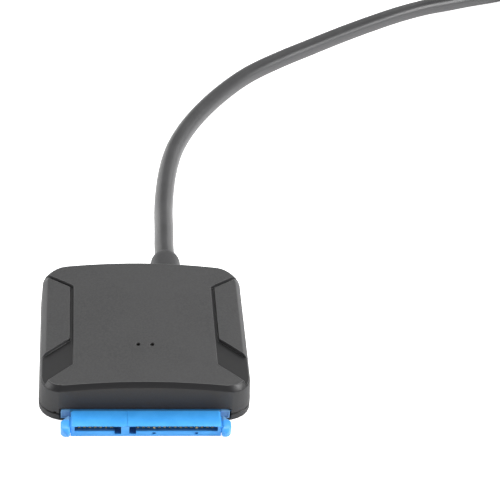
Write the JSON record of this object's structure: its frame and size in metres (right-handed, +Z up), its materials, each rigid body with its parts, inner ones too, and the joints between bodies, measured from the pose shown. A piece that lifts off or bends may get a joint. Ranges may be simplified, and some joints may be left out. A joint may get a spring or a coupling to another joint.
{
  "type": "hard drive adapter cable",
  "caption": "Flat moulded adapter housing with a keyed blue drive socket and guide ears at the front, and a round cable with a strain relief and a host plug at the back.",
  "frame": {"origin": "on the plane the housing stands on, below the middle of its length from the back wall to the tips of the socket's guide ears", "axes": "+Z up through the crowned top, -Y the way the drive socket faces, +X to the right seen from behind the socket's mouth looking along +Y"},
  "size_m": [0.217, 0.226, 0.012],
  "materials": {
    "housing_plastic": "fine matte grain, black moulded plastic",
    "socket_plastic": "smooth satin blue insulator",
    "cable_jacket": "soft satin grey jacket",
    "contact_gold": "bright plating",
    "bright_metal": "bright plated sheet",
    "chip_plastic": "moulded package",
    "board_laminate": "solder resist",
    "indicator_lens": "clear lens",
    "tie_fabric": "woven hook and loop strap",
    "core_red": "wire insulation",
    "core_black": "wire insulation",
    "core_blue": "wire insulation",
    "core_white": "wire insulation"
  },
  "bodies": {
    "root": {"top_cover": "housing_plastic", "bottom_cover": "housing_plastic", "drive_socket_body": "socket_plastic", "circuit_board": "board_laminate", "bridge_chip": "chip_plastic", "flash_chip": "chip_plastic", "regulator_chip": "chip_plastic", "power_inductor": "chip_plastic", "crystal_can": "bright_metal", "capacitor_1": "bright_metal", "capacitor_2": "bright_metal", "capacitor_3": "bright_metal", "indicator_1": "indicator_lens", "indicator_2": "indicator_lens", "power_jack_body": "chip_plastic", "power_jack_pin": "bright_metal", "power_jack_spring": "bright_metal", "strain_relief": "cable_jacket", "cable": "cable_jacket", "cable_tail": "cable_jacket", "cable_coil": "cable_jacket", "cable_tie": "tie_fabric", "host_plug_cover": "housing_plastic", "host_plug_shell": "bright_metal", "host_plug_tongue": "socket_plastic", "power_wire": "core_red", "ground_wire": "core_black", "send_wire": "core_blue", "receive_wire": "core_white", "signal_contact_1": "contact_gold", "signal_contact_2": "contact_gold", "signal_contact_3": "contact_gold", "signal_contact_4": "contact_gold", "signal_contact_5": "contact_gold", "signal_contact_6": "contact_gold", "signal_contact_7": "contact_gold", "power_contact_1": "contact_gold", "power_contact_2": "contact_gold", "power_contact_3": "contact_gold", "power_contact_4": "contact_gold", "power_contact_5": "contact_gold", "power_contact_6": "contact_gold", "power_contact_7": "contact_gold", "power_contact_8": "contact_gold", "power_contact_9": "contact_gold", "power_contact_10": "contact_gold", "power_contact_11": "contact_gold", "power_contact_12": "contact_gold", "power_contact_13": "contact_gold", "power_contact_14": "contact_gold", "power_contact_15": "contact_gold", "host_plug_contact_1": "contact_gold", "host_plug_contact_2": "contact_gold", "host_plug_contact_3": "contact_gold", "host_plug_contact_4": "contact_gold", "host_plug_contact_5": "contact_gold", "host_plug_contact_6": "contact_gold", "host_plug_contact_7": "contact_gold", "host_plug_contact_8": "contact_gold", "host_plug_contact_9": "contact_gold"}
  },
  "joints": []
}
